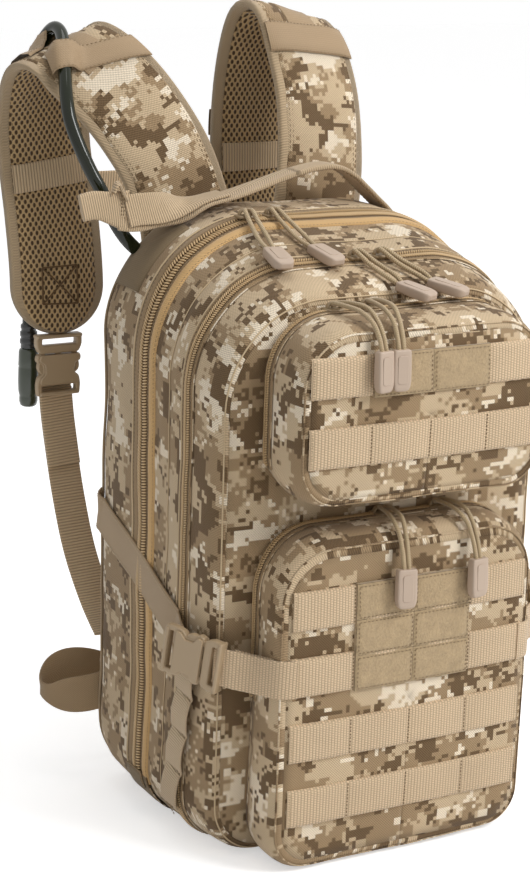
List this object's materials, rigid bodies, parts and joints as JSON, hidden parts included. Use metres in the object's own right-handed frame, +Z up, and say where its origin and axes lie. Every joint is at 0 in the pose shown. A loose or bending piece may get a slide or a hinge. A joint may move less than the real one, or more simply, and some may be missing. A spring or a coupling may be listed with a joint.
{
  "type": "hydration pack",
  "caption": "Small three-compartment hydration backpack with drink tube, padded shoulder straps, webbing-covered front pockets, zippers and side-release buckles.",
  "frame": {"origin": "centre of the flat base, on the surface that the pack stands on", "axes": "+Z up; -Y towards the front pockets; +Y towards the wearer; +X to the viewer's right from the front"},
  "size_m": [0.3126, 0.3174, 0.5318],
  "materials": {
    "camo_cloth": "woven twill, desert pixel camouflage",
    "webbing": "ribbed webbing",
    "binding": "bound edge tape",
    "loop_patch": "fuzzy loop",
    "zip_tape": "coil zipper tape",
    "mesh": "3-D air mesh",
    "lining": "coated cloth",
    "foam": "closed-cell foam",
    "buckle_plastic": "moulded",
    "pull_plastic": "moulded",
    "slider_metal": "painted",
    "cord": "braided",
    "tube": "glossy",
    "connector": "moulded",
    "valve_cover": "satin",
    "bladder": "film",
    "cap_plastic": "moulded"
  },
  "bodies": {
    "root": {"rear_shell": "camo_cloth", "back_foam": "foam", "back_pads": "mesh", "hydration_sleeve": "lining", "reservoir": "bladder", "inner_tube": "tube", "main_zip_rear": "zip_tape", "shoulder_strap_left": "camo_cloth", "shoulder_strap_right": "camo_cloth", "strap_bands": "webbing", "strap_webbing": "webbing", "buckle_males": "buckle_plastic", "compression_rear": "webbing", "handle_tabs": "webbing", "drink_tube": "tube", "tube_connector": "connector"},
    "front_half": {"front_shell": "camo_cloth", "main_zip_front": "zip_tape", "mid_shell": "camo_cloth", "mid_zip": "zip_tape", "compression_mid": "webbing", "side_webbing": "webbing", "upper_pocket_base": "camo_cloth", "upper_zip_fixed": "zip_tape", "lower_pocket_base": "camo_cloth", "lower_zip_fixed": "zip_tape", "lower_rows": "webbing"},
    "upper_flap": {"upper_pocket_panel": "camo_cloth", "upper_zip_flap": "zip_tape", "upper_rows": "webbing"},
    "lower_flap": {"lower_pocket_panel": "camo_cloth", "lower_zip_flap": "zip_tape", "lower_rows_top": "webbing", "compression_males": "buckle_plastic"},
    "reservoir_cap": {"reservoir_cap": "cap_plastic"},
    "bite_valve": {"bite_valve": "valve_cover"},
    "grab_handle": {"grab_handle": "webbing"},
    "strap_female_left": {"strap_female_left": "buckle_plastic"},
    "strap_female_right": {"strap_female_right": "buckle_plastic"},
    "sternum_female": {"sternum_female": "buckle_plastic"},
    "waist_female": {"waist_female": "buckle_plastic"},
    "compression_female_left": {"compression_female_left": "buckle_plastic"},
    "compression_female_right": {"compression_female_right": "buckle_plastic"},
    "slider_main_left": {"slider_main_left": "slider_metal"},
    "pull_main_left": {"pull_main_left": "pull_plastic"},
    "slider_main_right": {"slider_main_right": "slider_metal"},
    "pull_main_right": {"pull_main_right": "pull_plastic"},
    "slider_mid_left": {"slider_mid_left": "slider_metal"},
    "pull_mid_left": {"pull_mid_left": "pull_plastic"},
    "slider_mid_right": {"slider_mid_right": "slider_metal"},
    "pull_mid_right": {"pull_mid_right": "pull_plastic"},
    "slider_upper_left": {"slider_upper_left": "slider_metal"},
    "pull_upper_left": {"pull_upper_left": "pull_plastic"},
    "slider_upper_right": {"slider_upper_right": "slider_metal"},
    "pull_upper_right": {"pull_upper_right": "pull_plastic"},
    "slider_lower_left": {"slider_lower_left": "slider_metal"},
    "pull_lower_left": {"pull_lower_left": "pull_plastic"},
    "slider_lower_right": {"slider_lower_right": "slider_metal"},
    "pull_lower_right": {"pull_lower_right": "pull_plastic"}
  },
  "joints": [
    {"name": "main_opening", "type": "hinge", "parent": "root", "child": "front_half", "pos_m": [0, 0.033, 0], "axis": [1, 0, 0], "range_deg": [0, 50]},
    {"name": "upper_pocket_opening", "type": "hinge", "parent": "front_half", "child": "upper_flap", "pos_m": [0, -0.111, 0.262], "axis": [1, 0, 0], "range_deg": [0, 40]},
    {"name": "lower_pocket_opening", "type": "hinge", "parent": "front_half", "child": "lower_flap", "pos_m": [0, -0.1024, 0.11], "axis": [1, 0, 0], "range_deg": [0, 40]},
    {"name": "slider_main_left_run", "type": "hinge", "parent": "front_half", "child": "slider_main_left", "pos_m": [-0.045, 0.033, 0.32], "axis": [0, -1, 0], "range_deg": [0, 80], "deforming": ["pull_main_left"]},
    {"name": "slider_main_right_run", "type": "slide", "parent": "front_half", "child": "slider_main_right", "axis": [1, 0, 0], "range_m": [0, 0.09], "deforming": ["pull_main_right"]},
    {"name": "slider_mid_left_run", "type": "slide", "parent": "front_half", "child": "slider_mid_left", "axis": [-1, 0, 0], "range_m": [0, 0.062], "deforming": ["pull_mid_left"]},
    {"name": "slider_mid_right_run", "type": "slide", "parent": "front_half", "child": "slider_mid_right", "axis": [1, 0, 0], "range_m": [0, 0.052]},
    {"name": "slider_upper_left_run", "type": "hinge", "parent": "upper_flap", "child": "slider_upper_left", "pos_m": [-0.057, -0.0662, 0.323], "axis": [0, -1, 0], "range_deg": [0, 75]},
    {"name": "slider_upper_right_run", "type": "slide", "parent": "upper_flap", "child": "slider_upper_right", "axis": [1, 0, 0], "range_m": [0, 0.072]},
    {"name": "slider_lower_left_run", "type": "slide", "parent": "lower_flap", "child": "slider_lower_left", "axis": [-1, 0, 0], "range_m": [0, 0.05]},
    {"name": "slider_lower_right_run", "type": "slide", "parent": "lower_flap", "child": "slider_lower_right", "axis": [1, 0, 0], "range_m": [0, 0.018]},
    {"name": "pull_main_left_lift", "type": "hinge", "parent": "slider_main_left", "child": "pull_main_left", "pos_m": [-0.054, 0.0285, 0.4054], "axis": [-1, 0, 0], "range_deg": [0, 60]},
    {"name": "pull_main_right_lift", "type": "hinge", "parent": "slider_main_right", "child": "pull_main_right", "pos_m": [-0.034, 0.0285, 0.4054], "axis": [-1, 0, 0], "range_deg": [0, 60]},
    {"name": "pull_mid_left_lift", "type": "hinge", "parent": "slider_mid_left", "child": "pull_mid_left", "pos_m": [-0.004, -0.0275, 0.3854], "axis": [-1, 0, 0], "range_deg": [0, 55]},
    {"name": "pull_mid_right_lift", "type": "hinge", "parent": "slider_mid_right", "child": "pull_mid_right", "pos_m": [0.015, -0.0275, 0.3854], "axis": [-1, 0, 0], "range_deg": [0, 55]},
    {"name": "pull_upper_left_lift", "type": "hinge", "parent": "slider_upper_left", "child": "pull_upper_left", "pos_m": [-0.046, -0.0707, 0.3624], "axis": [-1, 0, 0], "range_deg": [0, 70]},
    {"name": "pull_upper_right_lift", "type": "hinge", "parent": "slider_upper_right", "child": "pull_upper_right", "pos_m": [-0.021, -0.0707, 0.3624], "axis": [-1, 0, 0], "range_deg": [0, 70]},
    {"name": "pull_lower_left_lift", "type": "hinge", "parent": "slider_lower_left", "child": "pull_lower_left", "pos_m": [-0.005, -0.0707, 0.2264], "axis": [-1, 0, 0], "range_deg": [0, 28]},
    {"name": "pull_lower_right_lift", "type": "hinge", "parent": "slider_lower_right", "child": "pull_lower_right", "pos_m": [0.038, -0.0707, 0.2264], "axis": [-1, 0, 0], "range_deg": [0, 28]},
    {"name": "handle_swing", "type": "hinge", "parent": "root", "child": "grab_handle", "pos_m": [0, 0.07, 0.405], "axis": [1, 0, 0], "range_deg": [0, 25]},
    {"name": "reservoir_cap_turn", "type": "hinge", "parent": "root", "child": "reservoir_cap", "pos_m": [0, 0.0695, 0.2307], "axis": [0, -1, 0], "range_deg": [0, 120]},
    {"name": "bite_valve_turn", "type": "hinge", "parent": "root", "child": "bite_valve", "pos_m": [-0.137, 0.188, 0.268], "axis": [0, 0, 1], "range_deg": [-90, 90]},
    {"name": "strap_buckle_left_release", "type": "slide", "parent": "root", "child": "strap_female_left", "axis": [0, 0, -1], "range_m": [0, 0.022]},
    {"name": "strap_buckle_right_release", "type": "slide", "parent": "root", "child": "strap_female_right", "axis": [0, 0, -1], "range_m": [0, 0.022]},
    {"name": "sternum_buckle_release", "type": "slide", "parent": "root", "child": "sternum_female", "axis": [1, 0, 0], "range_m": [0, 0.02]},
    {"name": "waist_buckle_release", "type": "slide", "parent": "root", "child": "waist_female", "axis": [1, 0, 0], "range_m": [0, 0.022]},
    {"name": "compression_buckle_left_release", "type": "slide", "parent": "lower_flap", "child": "compression_female_left", "axis": [-0.4488, 0.8827, 0.1392], "range_m": [0, 0.02]},
    {"name": "compression_buckle_right_release", "type": "slide", "parent": "lower_flap", "child": "compression_female_right", "axis": [0.4488, 0.8827, 0.1392], "range_m": [0, 0.02]}
  ]
}
